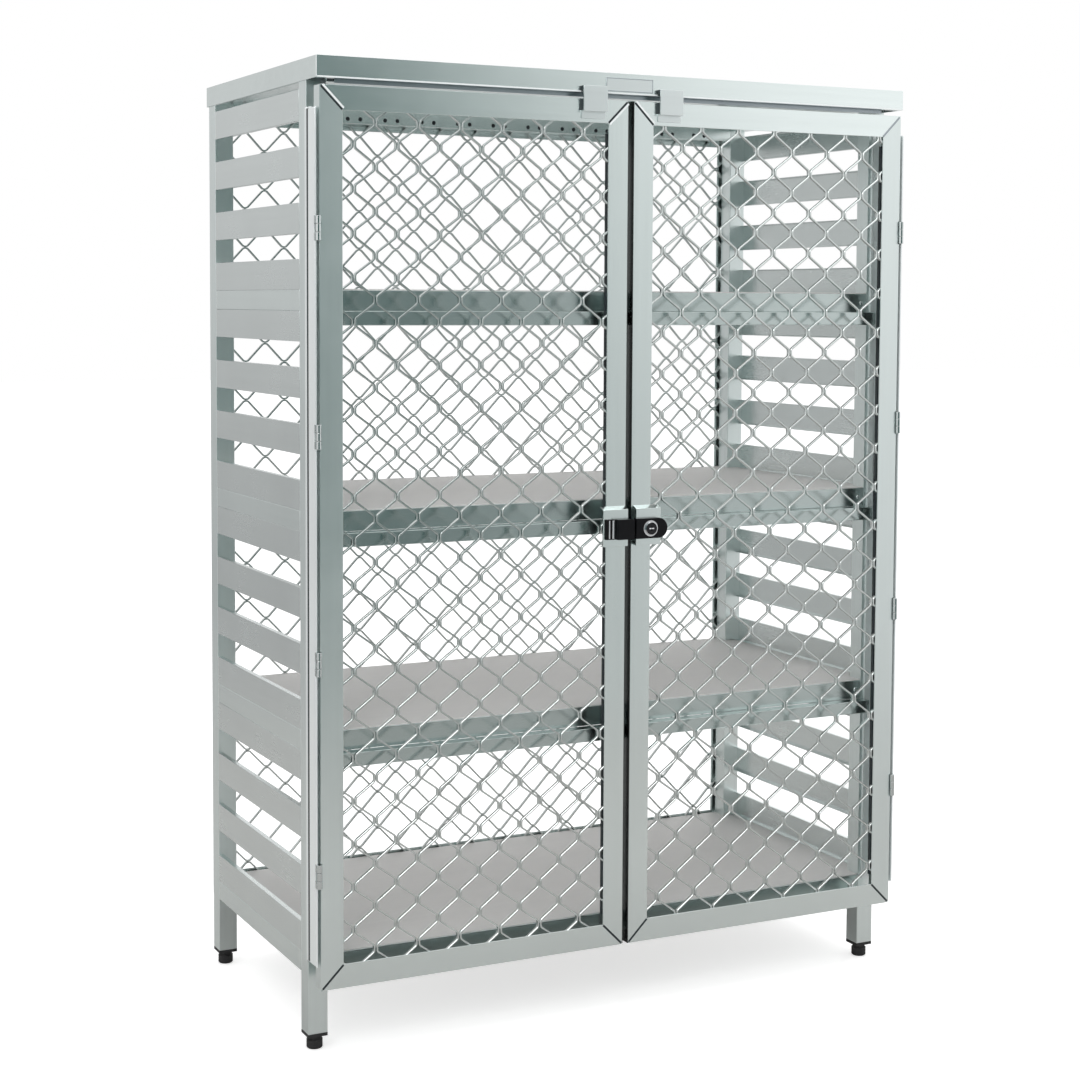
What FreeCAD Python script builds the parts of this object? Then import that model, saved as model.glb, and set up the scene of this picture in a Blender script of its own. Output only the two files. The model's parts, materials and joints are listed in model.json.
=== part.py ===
import FreeCAD
import Part
import math
import os

# Security cage: a lockable shelving cabinet of square aluminium tube, with slatted sides,
# four shelves, a mesh back and a pair of mesh doors. Every length is in millimetres.
# While a piece is built, x runs right from the left posts' outer face, y runs back from the
# front posts' front face, and z runs up from the floor. The left door and the left side are
# built, and the right ones are their mirror image. Every piece is moved to the origin,
# the middle of the whole outline at floor level, when it is written.

# Frame of square tube
width = 1264.0               # over the outer faces of the left and right posts
depth = 574.0                # over the faces of the front and rear posts
height = 1815.0              # floor to the top of the cap
tube_side = 38.0
tube_wall = 2.0
rear_rail_drop = 23.0        # rear top rail's top below the posts' tops
post_bottom = 31.0
shelf_tops = {"bottom": 181.0, "lower": 596.0, "middle": 1001.0, "upper": 1404.0}
shelf_sheet = 2.0
shelf_setback = 1.0          # shelf edge behind the faces of the rails
shelf_post_gap = 0.5         # notch of the shelf round a post

# Feet
plug_flange = 6.0
plug_depth = 18.0
plug_play = 0.3
foot_radius = 15.0
foot_pad_height = 17.0
foot_chamfer = 2.0
foot_nut_across = 24.0

# Cap of folded sheet
cap_sheet = 2.0
cap_skirt = 39.0
cap_front = 60.0             # cap's front face, in front of the posts
cap_lip = 12.0
cap_seam = 0.6
cap_rear_play = 0.5

# Slats of the sides, shallow channels between the posts
slats_per_bay = 4
slat_height = 56.0
slat_depth = 10.0
slat_sheet = 2.0
top_slat_edge = 1763.0

# Stop rails that the doors' backs face, below the three upper shelves
stop_side = 26.0
stop_wall = 2.0
stop_lap = 5.0               # how far each end laps a post
stop_levels = ["lower", "middle", "upper"]

# Mesh of paired strands
mesh_pitch = 84.0            # between contacts along a row
mesh_row = 39.6              # between rows, each half a pitch along
mesh_contact = 13.0          # length where two strands run side by side
mesh_depth = 7.0
strand = 3.3
strand_spacing = 5.4         # centre to centre of two strands at a contact
front_mesh_x = {"left": 69.0, "right": 53.0}     # a contact, from the post's outer face
front_mesh_z = {"left": 1423.6, "right": 1402.0}
rear_mesh_x = 76.0
rear_mesh_z = {"lower": 993.0, "upper": 1017.0}

# Rear frame of thin angle
rear_sheet = 1.5
rear_border = 44.0
rear_top = 1785.0
rear_inset = 2.0
rear_joint = 0.4
rear_mesh_joint = 1.0

# Jambs of folded sheet, one on each front post
jamb_sheet = 3.0
jamb_leg = 30.0
jamb_web_front = 28.5
jamb_strip_back = 26.0
jamb_setback = 0.5           # strip's front edge behind the doors' front faces
jamb_bottom = 171.0
jamb_top = 1729.0
jamb_chamfer = 7.0

# Doors of mitred channel
door_bottom = 132.0
door_top = 1764.0
door_front = 60.5            # doors' front faces, in front of the posts
door_depth = 27.5
door_edge = 2.5              # door's outer edge inside the post's outer face
door_gap = 10.0
door_border = 44.0
door_sheet = 2.0
mitre_gap = 0.8
mesh_lap = 24.0              # how far the mesh runs in behind the border

# Hinges
hinge_heights = {"left": [344.0, 731.0, 1140.0, 1511.0], "right": [381.0, 751.0, 1138.0, 1527.0]}
hinge_axis_out = 0.5         # axis outside the post's outer face
hinge_axis_proud = 2.5       # axis in front of the doors' front faces
knuckle_radius = 4.8
knuckle_height = 14.25
door_knuckle_height = 14.5
knuckle_gap = 0.5
pin_radius = 2.2
pin_play = 0.08
leaf_sheet = 2.0
leaf_reach = 13.0            # from the axis back along the door's side
hinge_clear_radius = 6.6
hinge_clear_end = 1.0
jamb_notch_depth = 5.0
tab_proud = 1.0

# Stop plates at the tops of the doors
plate_inner_edge = 57.0      # from the middle of the front to the plate
plate_width = 51.0
plate_bottom = 1740.0
plate_top = 1788.0
plate_stand = 11.5
plate_sheet = 2.0
plate_flange = 13.0

# Latch
saddle_inner_edge = 7.0
saddle_width = 54.0
right_saddle_inner_edge = 11.0
saddle_bottom = 915.0
saddle_top = 986.0
saddle_rise = 6.0            # how far the top fold rises towards the door
saddle_stand = 12.0
saddle_sheet = 2.0
latch_bottom = 929.0
latch_height = 39.0
latch_gap = 5.0              # between the two halves of the latch
latch_base_end = 57.0        # left half's far end, from the middle of the front
latch_base_sheet = 4.0
latch_housing_end = 36.0
latch_stand = 14.0
bar_end = 74.0
bar_stand = 12.0
key_from_middle = 36.0
key_radius = 12.5
key_proud = 5.0
keyway_width = 2.0
keyway_length = 11.0
keyway_depth = 2.5

middle = width / 2
post_top = height - cap_sheet
door_outer = door_edge
door_inner = middle - door_gap / 2
axis_x = -hinge_axis_out
axis_y = -door_front - hinge_axis_proud
rear_face = depth + mesh_depth + rear_sheet
cap_rear = rear_face + cap_rear_play + cap_sheet
saddle_front = -door_front - saddle_stand
front_most = saddle_front - bar_stand - key_proud
origin = FreeCAD.Vector(middle, (front_most + cap_rear) / 2, 0)


def box(x0, x1, y0, y1, z0, z1):
    """A block between two values on each axis."""
    return Part.makeBox(x1 - x0, y1 - y0, z1 - z0, FreeCAD.Vector(x0, y0, z0))


def upright_cylinder(x, y, z0, z1, radius):
    """A round bar along z."""
    return Part.makeCylinder(radius, z1 - z0, FreeCAD.Vector(x, y, z0))


def tube(x0, x1, y0, y1, z0, z1, along, wall):
    """A square tube, open at both ends of the axis it runs along."""
    inner = {"x0": x0 + wall, "x1": x1 - wall, "y0": y0 + wall, "y1": y1 - wall,
             "z0": z0 + wall, "z1": z1 - wall}
    outer = {"x0": x0, "x1": x1, "y0": y0, "y1": y1, "z0": z0, "z1": z1}
    for end in "01":
        inner[along + end] = outer[along + end]
    return box(**outer).cut(box(**inner))


def prism_xz(points, y0, y1):
    """A flat outline given in x and z, thickened along y."""
    corners = [FreeCAD.Vector(x, y0, z) for x, z in points]
    face = Part.Face(Part.makePolygon(corners + corners[:1]))
    return face.extrude(FreeCAD.Vector(0, y1 - y0, 0))


def prism_yz(points, x0, x1):
    """A flat outline given in y and z, thickened along x."""
    corners = [FreeCAD.Vector(x0, y, z) for y, z in points]
    face = Part.Face(Part.makePolygon(corners + corners[:1]))
    return face.extrude(FreeCAD.Vector(x1 - x0, 0, 0))


def prism_xy(points, z0, z1):
    """A flat outline given in x and y, thickened along z."""
    corners = [FreeCAD.Vector(x, y, z0) for x, y in points]
    face = Part.Face(Part.makePolygon(corners + corners[:1]))
    return face.extrude(FreeCAD.Vector(0, 0, z1 - z0))


def mirrored(shape):
    """The same piece on the right half of the cage."""
    return shape.mirror(FreeCAD.Vector(middle, 0, 0), FreeCAD.Vector(1, 0, 0))


def separate(shapes):
    """Several like solids that don't touch, kept in one piece file."""
    return Part.makeCompound(shapes)


# Posts and feet

def post(x, y):
    """A corner post, from its foot plug to the cap."""
    return tube(x, x + tube_side, y, y + tube_side, post_bottom, post_top, "z", tube_wall)


def foot(x, y):
    """A levelling foot: a round pad, a hexagonal nut and a square plug in the post."""
    centre_x = x + tube_side / 2
    centre_y = y + tube_side / 2
    flange_bottom = post_bottom - plug_flange
    pad = upright_cylinder(centre_x, centre_y, 0, foot_pad_height, foot_radius)
    pad = pad.makeChamfer(foot_chamfer, [edge for edge in pad.Edges if edge.BoundBox.ZMax < 0.1])
    corner = foot_nut_across / math.sqrt(3)
    outline = [(centre_x + corner * math.cos(math.radians(60 * side)),
                centre_y + corner * math.sin(math.radians(60 * side))) for side in range(6)]
    nut = prism_xy(outline, foot_pad_height, flange_bottom)
    flange = box(x, x + tube_side, y, y + tube_side, flange_bottom, post_bottom)
    inset = tube_wall + plug_play
    plug = box(x + inset, x + tube_side - inset, y + inset, y + tube_side - inset,
               post_bottom, post_bottom + plug_depth)
    return pad.fuse([nut, flange, plug]).removeSplitter()


# Rails of square tube between the posts

def front_rail(rail_top):
    """A rail across the front, flush with the posts' front faces."""
    return tube(tube_side, width - tube_side, 0, tube_side,
                rail_top - tube_side, rail_top, "x", tube_wall)


def rear_rail(rail_top):
    """A rail across the rear, flush with the posts' rear faces."""
    return front_rail(rail_top).translate(FreeCAD.Vector(0, depth - tube_side, 0))


def side_rail(rail_top):
    """A rail along the left side, flush with the posts' outer faces."""
    return tube(0, tube_side, tube_side, depth - tube_side,
                rail_top - tube_side, rail_top, "y", tube_wall)


def stop_rail(rail_top):
    """A smaller tube across the posts' front faces, just under a front rail."""
    top = rail_top - tube_side
    return tube(tube_side - stop_lap, width - tube_side + stop_lap, -stop_side, 0,
                top - stop_side, top, "x", stop_wall)


# Shelves, cap and slats

def shelf(top):
    """A flat sheet on the rails, notched round the four posts."""
    sheet = box(slat_depth + shelf_setback, width - slat_depth - shelf_setback,
                shelf_setback, depth - shelf_setback, top - shelf_sheet, top)
    notch = tube_side + shelf_post_gap
    for x0, x1 in ((0, notch), (width - notch, width)):
        for y0, y1 in ((0, notch), (depth - notch, depth)):
            sheet = sheet.cut(box(x0, x1, y0, y1, top - shelf_sheet, top))
    return sheet


def top_cap():
    """A folded cap, open below, with a return lip along its front and seams at its corners."""
    bottom = height - cap_skirt
    cap = box(-cap_sheet, width + cap_sheet, -cap_front, cap_rear, bottom, height)
    cap = cap.cut(box(0, width, cap_sheet - cap_front, cap_rear - cap_sheet,
                      bottom, height - cap_sheet))
    lip = box(0, width, cap_sheet - cap_front, cap_sheet + cap_lip - cap_front,
              bottom, bottom + cap_sheet)
    cap = cap.fuse(lip).removeSplitter()
    seam_front = cap_sheet - cap_front
    for x0 in (-cap_sheet, width):
        cap = cap.cut(box(x0, x0 + cap_sheet, seam_front, seam_front + cap_seam,
                          bottom, height - cap_sheet))
    return cap


def slat(bottom):
    """A shallow channel along the left side, open to the inside."""
    top = bottom + slat_height
    channel = box(0, slat_depth, tube_side, depth - tube_side, bottom, top)
    return channel.cut(box(slat_sheet, slat_depth, tube_side, depth - tube_side,
                           bottom + slat_sheet, top - slat_sheet))


def bay_slats(bay_bottom, bay_top):
    """Slats spread evenly over one bay, the first and last against its rails."""
    spacing = (bay_top - bay_bottom - slat_height) / (slats_per_bay - 1)
    return [slat(bay_bottom + number * spacing) for number in range(slats_per_bay)]


def side_slats():
    """All slats of the left side, bay by bay."""
    rail_tops = [top - shelf_sheet for top in shelf_tops.values()]
    bay_tops = [rail_top - tube_side for rail_top in rail_tops[1:]] + [top_slat_edge]
    slats = []
    for bay_bottom, bay_top in zip(rail_tops, bay_tops):
        slats.extend(bay_slats(bay_bottom, bay_top))
    return separate(slats)


# Mesh

def mesh_cell(x, z):
    """The six-sided hole round a cell's centre, as corners in x and z."""
    run = mesh_pitch / 2 - strand_spacing
    rise = mesh_row - mesh_contact
    length = math.hypot(run, rise)
    edge_x = strand_spacing / 2 + strand / 2 * rise / length
    edge_z = mesh_contact / 2 - strand / 2 * run / length
    side_x = (strand_spacing + strand) / 2
    side_z = edge_z + (side_x - edge_x) * rise / run
    tip_z = edge_z + (mesh_pitch / 2 - edge_x) * rise / run
    half = mesh_pitch / 2 - side_x
    return [(x - half, z - side_z), (x - half, z + side_z), (x, z + tip_z),
            (x + half, z + side_z), (x + half, z - side_z), (x, z - tip_z)]


def flat_face(points, y):
    """A flat outline in the upright plane at y."""
    corners = [FreeCAD.Vector(x, y, z) for x, z in points]
    return Part.Face(Part.makePolygon(corners + corners[:1]))


def mesh_cells(x0, x1, z0, z1, contact_x, contact_z):
    """Corners of every cell that lies in a rectangle or crosses its edge."""
    first_row = math.floor((z0 - contact_z) / mesh_row) - 1
    last_row = math.ceil((z1 - contact_z) / mesh_row) + 1
    cells = []
    for row in range(first_row, last_row + 1):
        start = contact_x + mesh_pitch / 2 * (1 + row % 2)
        first = math.floor((x0 - start) / mesh_pitch)
        last = math.ceil((x1 - start) / mesh_pitch)
        for column in range(first, last + 1):
            cells.append(mesh_cell(start + column * mesh_pitch, contact_z + row * mesh_row))
    return cells


def mesh_panel(x0, x1, z0, z1, y, contact_x, contact_z):
    """Mesh cut to a rectangle, its strands fused where they run side by side."""
    panel = flat_face([(x0, z0), (x1, z0), (x1, z1), (x0, z1)], y)
    whole = []
    crossing = []
    for cell in mesh_cells(x0, x1, z0, z1, contact_x, contact_z):
        inside = all(x0 < x < x1 and z0 < z < z1 for x, z in cell)
        (whole if inside else crossing).append(flat_face(cell, y))
    trimmed = panel.cut(Part.makeCompound(crossing))
    largest = max(trimmed.Faces, key=lambda face: face.Area)
    face = Part.Face([largest.OuterWire] + [cell.OuterWire for cell in whole])
    return face.extrude(FreeCAD.Vector(0, mesh_depth, 0))


# Rear

def rear_frame():
    """Five thin bars behind the posts: angles round the edge and a flat strip at mid height."""
    left = rear_inset
    right = width - rear_inset
    bottom = shelf_tops["bottom"] - shelf_sheet - tube_side
    top = rear_top
    flange_front = depth + mesh_depth
    ring = box(left, right, depth, rear_face, bottom, top)
    ring = ring.cut(box(left + rear_sheet, right - rear_sheet, depth, flange_front,
                        bottom + rear_sheet, top - rear_sheet))
    ring = ring.cut(box(left + rear_border, right - rear_border, depth, rear_face,
                        bottom + rear_border, top - rear_border))
    left_bar = ring.common(box(left, left + rear_border, depth, rear_face, bottom, top))
    inner_left = left + rear_border + rear_joint
    inner_right = right - rear_border - rear_joint
    bars = [left_bar, mirrored(left_bar)]
    for z0, z1 in ((bottom, bottom + rear_border), (top - rear_border, top)):
        bars.append(ring.common(box(inner_left, inner_right, depth, rear_face, z0, z1)))
    strip_top = shelf_tops["middle"] - shelf_sheet
    bars.append(box(inner_left, inner_right, flange_front, rear_face,
                    strip_top - tube_side, strip_top))
    return separate(bars)


def rear_mesh(part_name):
    """The lower or upper half of the mesh between the posts and the rear frame."""
    inset = rear_inset + rear_sheet
    split = shelf_tops["middle"] - shelf_sheet - tube_side / 2
    if part_name == "lower":
        z0 = shelf_tops["bottom"] - shelf_sheet - tube_side + rear_sheet
        z1 = split - rear_mesh_joint / 2
    else:
        z0 = split + rear_mesh_joint / 2
        z1 = rear_top - rear_sheet
    return mesh_panel(inset, width - inset, z0, z1, depth, rear_mesh_x, rear_mesh_z[part_name])


# Jambs and hinges

def jamb(heights):
    """A folded strip in front of the left post, notched at the hinges."""
    strip_front = jamb_setback - door_front
    outer = -2 * jamb_sheet
    profile = [(jamb_leg, 0), (-jamb_sheet, 0), (-jamb_sheet, -jamb_strip_back),
               (outer, -jamb_strip_back), (outer, strip_front), (-jamb_sheet, strip_front),
               (-jamb_sheet, -jamb_web_front), (0, -jamb_web_front), (0, -jamb_sheet),
               (jamb_leg, -jamb_sheet)]
    strip = prism_xy(profile, jamb_bottom, jamb_top)
    for end, inward in ((jamb_bottom, 1), (jamb_top, -1)):
        corner = [(outer, end), (outer + jamb_chamfer, end), (outer, end + inward * jamb_chamfer)]
        strip = strip.cut(prism_xz(corner, strip_front, -jamb_sheet))
    notch_back = strip_front + jamb_notch_depth
    half = knuckle_height + door_knuckle_height / 2 + knuckle_gap
    for height_of_hinge in heights:
        strip = strip.cut(box(outer, -jamb_sheet, strip_front, notch_back,
                              height_of_hinge - half, height_of_hinge + half))
    return strip


def fixed_knuckles(heights):
    """Outer knuckles and pins of the left hinges, with the tabs that the jamb holds."""
    strip_front = jamb_setback - door_front
    near = door_knuckle_height / 2 + knuckle_gap
    far = near + knuckle_height
    hinges = []
    for z in heights:
        hinge = upright_cylinder(axis_x, axis_y, z - far, z + far, pin_radius)
        for z0, z1 in ((z - far, z - near), (z + near, z + far)):
            knuckle = upright_cylinder(axis_x, axis_y, z0, z1, knuckle_radius)
            tab = box(-2 * jamb_sheet, -jamb_sheet, strip_front - tab_proud,
                      strip_front + jamb_notch_depth, z0, z1)
            hinge = hinge.fuse([knuckle, tab])
        hinges.append(hinge.removeSplitter())
    return separate(hinges)


def door_knuckles(heights):
    """Middle knuckles of the left hinges, each with a leaf on the door's side."""
    half = door_knuckle_height / 2
    knuckles = []
    for z in heights:
        knuckle = upright_cylinder(axis_x, axis_y, z - half, z + half, knuckle_radius)
        leaf = box(door_outer - leaf_sheet, door_outer, axis_y, axis_y + leaf_reach,
                   z - half, z + half)
        knuckle = knuckle.fuse(leaf).removeSplitter()
        bore = upright_cylinder(axis_x, axis_y, z - half, z + half, pin_radius + pin_play)
        knuckles.append(knuckle.cut(bore))
    return separate(knuckles)


# Doors

def door_ring(heights):
    """The whole border of the left door: a channel open to the inside, cleared at the hinges."""
    front = -door_front
    back = door_depth - door_front
    ring = box(door_outer, door_inner, front, back, door_bottom, door_top)
    ring = ring.cut(box(door_outer + door_sheet, door_inner - door_sheet,
                        front + door_sheet, back - door_sheet,
                        door_bottom + door_sheet, door_top - door_sheet))
    ring = ring.cut(box(door_outer + door_border, door_inner - door_border, front, back,
                        door_bottom + door_border, door_top - door_border))
    half = knuckle_height + door_knuckle_height / 2 + knuckle_gap + hinge_clear_end
    for z in heights:
        ring = ring.cut(upright_cylinder(axis_x, axis_y, z - half, z + half, hinge_clear_radius))
    return ring


def door_border_pieces(heights):
    """The left door's border, cut at its mitres into two stiles and two rails."""
    ring = door_ring(heights)
    shift = mitre_gap / math.sqrt(2)
    front = -door_front
    back = door_depth - door_front
    low = door_bottom
    high = door_top
    inset = door_border
    hinge_stile = [(door_outer, low + shift), (door_outer, high - shift),
                   (door_outer + inset, high - inset - shift),
                   (door_outer + inset, low + inset + shift)]
    lock_stile = [(door_inner, low + shift), (door_inner, high - shift),
                  (door_inner - inset, high - inset - shift),
                  (door_inner - inset, low + inset + shift)]
    rails = []
    for edge, inward in ((low, 1), (high, -1)):
        outline = [(door_outer + shift, edge), (door_inner - shift, edge),
                   (door_inner - inset - shift, edge + inward * inset),
                   (door_outer + inset + shift, edge + inward * inset)]
        rails.append(ring.common(prism_xz(outline, front, back)))
    return {"hinge_stile": ring.common(prism_xz(hinge_stile, front, back)),
            "lock_stile": ring.common(prism_xz(lock_stile, front, back)),
            "rails": separate(rails)}


def door_mesh(side):
    """A door's mesh as if on the left, behind the front flange of its border."""
    inset = door_border - mesh_lap
    return mesh_panel(door_outer + inset, door_inner - inset, door_bottom + inset,
                      door_top - inset, door_sheet - door_front,
                      front_mesh_x[side], front_mesh_z[side])


def stop_plate():
    """A bent plate on the left door's top rail that laps over the cap's front."""
    right = middle - plate_inner_edge
    left = right - plate_width
    face = -door_front - plate_stand
    plate = box(left, right, face, face + plate_sheet, plate_bottom, plate_top)
    fold = box(left, right, face, -door_front, plate_bottom, plate_bottom + plate_sheet)
    flange = box(left, right, -door_front - plate_sheet, -door_front,
                 plate_bottom - plate_flange, plate_bottom + plate_sheet)
    return plate.fuse([fold, flange]).removeSplitter()


# Latch

def saddle(inner_edge):
    """A folded plate that stands off the left door's lock stile and carries the latch."""
    right = middle - inner_edge
    left = right - saddle_width
    back_top = saddle_top + saddle_rise
    hat = prism_yz([(saddle_front, saddle_bottom), (-door_front, saddle_bottom),
                    (-door_front, back_top), (saddle_front, saddle_top)], left, right)
    inner_front = saddle_front + saddle_sheet
    inner_bottom = saddle_bottom + saddle_sheet
    hollow = prism_yz([(inner_front, inner_bottom), (-door_front, inner_bottom),
                       (-door_front, back_top - saddle_sheet),
                       (inner_front, saddle_top - saddle_sheet)], left, right)
    return hat.cut(hollow)


def latch_keeper():
    """The left door's half of the latch: a base plate and a raised housing."""
    right = middle - door_gap / 2 + latch_gap
    top = latch_bottom + latch_height
    base = box(middle - latch_base_end, right, saddle_front - latch_base_sheet, saddle_front,
               latch_bottom, top)
    housing = box(middle - latch_housing_end, right, saddle_front - latch_stand, saddle_front,
                  latch_bottom, top)
    return base.fuse(housing).removeSplitter()


def latch_bar():
    """The right door's half of the latch: a flat bar with a round end."""
    left = middle + door_gap / 2
    radius = latch_height / 2
    straight_end = middle + bar_end - radius
    centre_z = latch_bottom + radius
    bar = box(left, straight_end, saddle_front - bar_stand, saddle_front,
              latch_bottom, latch_bottom + latch_height)
    end = Part.makeCylinder(radius, bar_stand,
                            FreeCAD.Vector(straight_end, saddle_front - bar_stand, centre_z),
                            FreeCAD.Vector(0, 1, 0))
    return bar.fuse(end).removeSplitter()


def key_cylinder():
    """The round lock that stands out of the bar, with its keyway."""
    x = middle + key_from_middle
    z = latch_bottom + latch_height / 2
    face = saddle_front - bar_stand - key_proud
    barrel = Part.makeCylinder(key_radius, key_proud, FreeCAD.Vector(x, face, z),
                               FreeCAD.Vector(0, 1, 0))
    keyway = box(x - keyway_width / 2, x + keyway_width / 2, face, face + keyway_depth,
                 z - keyway_length / 2, z + keyway_length / 2)
    return barrel.cut(keyway)


# Assembly

def cabinet_pieces():
    """Everything that stays still."""
    pieces = {}
    right = width - tube_side
    rear = depth - tube_side
    for name, x, y in (("front_left", 0, 0), ("front_right", right, 0),
                       ("rear_left", 0, rear), ("rear_right", right, rear)):
        pieces["post_" + name] = post(x, y)
        pieces["foot_" + name] = foot(x, y)
    pieces["top_cap"] = top_cap()
    pieces["top_rails"] = separate([front_rail(post_top), rear_rail(post_top - rear_rail_drop),
                                    side_rail(post_top), mirrored(side_rail(post_top))])
    rail_tops = [top - shelf_sheet for top in shelf_tops.values()]
    pieces["front_rails"] = separate([front_rail(top) for top in rail_tops])
    pieces["rear_rails"] = separate([rear_rail(top) for top in rail_tops])
    pieces["side_rails_left"] = separate([side_rail(top) for top in rail_tops])
    pieces["side_rails_right"] = mirrored(pieces["side_rails_left"])
    pieces["stop_rails"] = separate([stop_rail(shelf_tops[name] - shelf_sheet)
                                     for name in stop_levels])
    for name, top in shelf_tops.items():
        pieces["shelf_" + name] = shelf(top)
    pieces["side_slats_left"] = side_slats()
    pieces["side_slats_right"] = mirrored(pieces["side_slats_left"])
    pieces["rear_frame"] = rear_frame()
    pieces["rear_mesh_lower"] = rear_mesh("lower")
    pieces["rear_mesh_upper"] = rear_mesh("upper")
    pieces["jamb_left"] = jamb(hinge_heights["left"])
    pieces["jamb_right"] = mirrored(jamb(hinge_heights["right"]))
    pieces["hinges_left"] = fixed_knuckles(hinge_heights["left"])
    pieces["hinges_right"] = mirrored(fixed_knuckles(hinge_heights["right"]))
    return pieces


def door_pieces(side):
    """Everything that swings with one door, built as the left door."""
    pieces = door_border_pieces(hinge_heights[side])
    pieces["mesh"] = door_mesh(side)
    pieces["knuckles"] = door_knuckles(hinge_heights[side])
    pieces["stop_plate"] = stop_plate()
    pieces["saddle"] = saddle(saddle_inner_edge if side == "left" else right_saddle_inner_edge)
    if side == "right":
        pieces = {name: mirrored(shape) for name, shape in pieces.items()}
        pieces["latch_bar"] = latch_bar()
        pieces["key_cylinder"] = key_cylinder()
    else:
        pieces["latch_keeper"] = latch_keeper()
    return {side + "_door_" + name: shape for name, shape in pieces.items()}


def main():
    """Build every piece, move it to the origin and write it."""
    os.makedirs("parts", exist_ok=True)
    pieces = cabinet_pieces()
    pieces.update(door_pieces("left"))
    pieces.update(door_pieces("right"))
    for name, shape in pieces.items():
        placed = shape.copy()
        placed.translate(-origin)
        placed.exportStep("parts/" + name + ".step")


main()
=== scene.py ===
import json
import math

import bmesh
import bpy
from bpy.props import FloatProperty, FloatVectorProperty, IntProperty, PointerProperty
from mathutils import Matrix, Vector


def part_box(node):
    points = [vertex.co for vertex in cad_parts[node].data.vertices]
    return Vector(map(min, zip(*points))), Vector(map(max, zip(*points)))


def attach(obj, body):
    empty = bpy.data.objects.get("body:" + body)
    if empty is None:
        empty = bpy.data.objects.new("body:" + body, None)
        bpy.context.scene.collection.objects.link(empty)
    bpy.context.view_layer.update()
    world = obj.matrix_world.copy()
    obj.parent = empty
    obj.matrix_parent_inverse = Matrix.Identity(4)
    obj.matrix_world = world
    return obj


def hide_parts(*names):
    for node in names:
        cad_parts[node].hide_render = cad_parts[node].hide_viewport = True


bl_info = {
    "name": "Security cage",
    "version": (1, 0, 0),
    "blender": (4, 5, 0),
    "location": "3D view, sidebar, Cage",
    "description": "Dresses a lockable mesh cage: satin tube, strand mesh, latch and stage",
    "category": "Object",
}

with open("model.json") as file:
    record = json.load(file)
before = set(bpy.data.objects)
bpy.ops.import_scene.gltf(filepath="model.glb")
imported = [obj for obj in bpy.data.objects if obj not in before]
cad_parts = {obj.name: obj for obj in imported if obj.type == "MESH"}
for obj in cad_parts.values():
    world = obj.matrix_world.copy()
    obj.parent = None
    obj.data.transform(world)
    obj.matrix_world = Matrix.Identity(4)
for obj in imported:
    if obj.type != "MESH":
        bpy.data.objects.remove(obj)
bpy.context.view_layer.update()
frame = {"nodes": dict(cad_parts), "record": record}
body_of_node = {node: body for body, nodes in frame["record"]["behaviour"]["bodies"].items()
                for node in nodes}
slot_of_node = {part["node"]: part["material_slot"] for part in frame["record"]["subparts"]}


# Sizes and colours a user would change

class CageFinish(bpy.types.PropertyGroup):
    """Colours and gloss of each finish."""
    tube: FloatVectorProperty(name="Tube", description="Satin tube, channel and cap", size=3,
                              subtype="COLOR", default=(0.84, 0.91, 0.90))
    # Painted shade: the tube's colour darkened, for the rails in front of the shelves that lie in
    # the shade of the doors and mesh.
    rail: FloatVectorProperty(name="Shelf rail", description="Rails in front of the shelves",
                              size=3, subtype="COLOR", default=(0.58, 0.65, 0.64))
    # A darker copy of the tube; on the strip under the cap it is partly painted shade.
    shade: FloatVectorProperty(name="Shade", description="Thin dark rims and joints", size=3,
                               subtype="COLOR", default=(0.40, 0.44, 0.47))
    slat: FloatVectorProperty(name="Slat", description="Sheet of the side slats", size=3,
                              subtype="COLOR", default=(0.80, 0.85, 0.845))
    strand: FloatVectorProperty(name="Strand", description="Mesh strands", size=3,
                                subtype="COLOR", default=(0.70, 0.74, 0.73))
    shelf: FloatVectorProperty(name="Shelf", description="Matte shelf sheet", size=3,
                               subtype="COLOR", default=(0.80, 0.79, 0.78))
    hinge: FloatVectorProperty(name="Hinge", description="Hinge knuckles and rivets", size=3,
                               subtype="COLOR", default=(0.66, 0.70, 0.70))
    latch: FloatVectorProperty(name="Latch", description="Black latch", size=3,
                               subtype="COLOR", default=(0.003, 0.003, 0.004))
    key: FloatVectorProperty(name="Key cylinder", description="Polished lock", size=3,
                             subtype="COLOR", default=(0.80, 0.80, 0.82))
    plate: FloatVectorProperty(name="Plate", description="Stop plates and name plate", size=3,
                               subtype="COLOR", default=(0.86, 0.91, 0.91))
    # Painted highlight: the colour of the bright strips on the cap's edges and the doors'
    # corners, where edges catch the light. The jambs take the same colour, less metallic.
    lip: FloatVectorProperty(name="Lip", description="Bright raised lips at the corners", size=3,
                             subtype="COLOR", default=(0.90, 0.94, 0.94))
    # Dark colour of the joint lines, and of the painted shade on the jambs, behind the stop
    # plates, in the stiles' channels and on the rear top rail.
    joint_and_shade: FloatVectorProperty(name="Seal", description="Dark seals, pads and joint lines",
                              size=3, subtype="COLOR", default=(0.010, 0.018, 0.022))
    foot: FloatVectorProperty(name="Foot", description="Levelling feet and plugs", size=3,
                              subtype="COLOR", default=(0.012, 0.012, 0.013))
    tube_roughness: FloatProperty(name="Tube roughness", description="Roughness of the tube",
                                  default=0.21, min=0.05, max=1.0)
    # Painted shade: the lock stiles' sides that face each other are painted dark, for the shade
    # in the gap between the doors; on an opened door it shows as a dark edge.
    gap_shade: FloatProperty(name="Dark half", description="Dark sides of the gap of the doors",
                             default=0.0068, unit="LENGTH")


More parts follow.
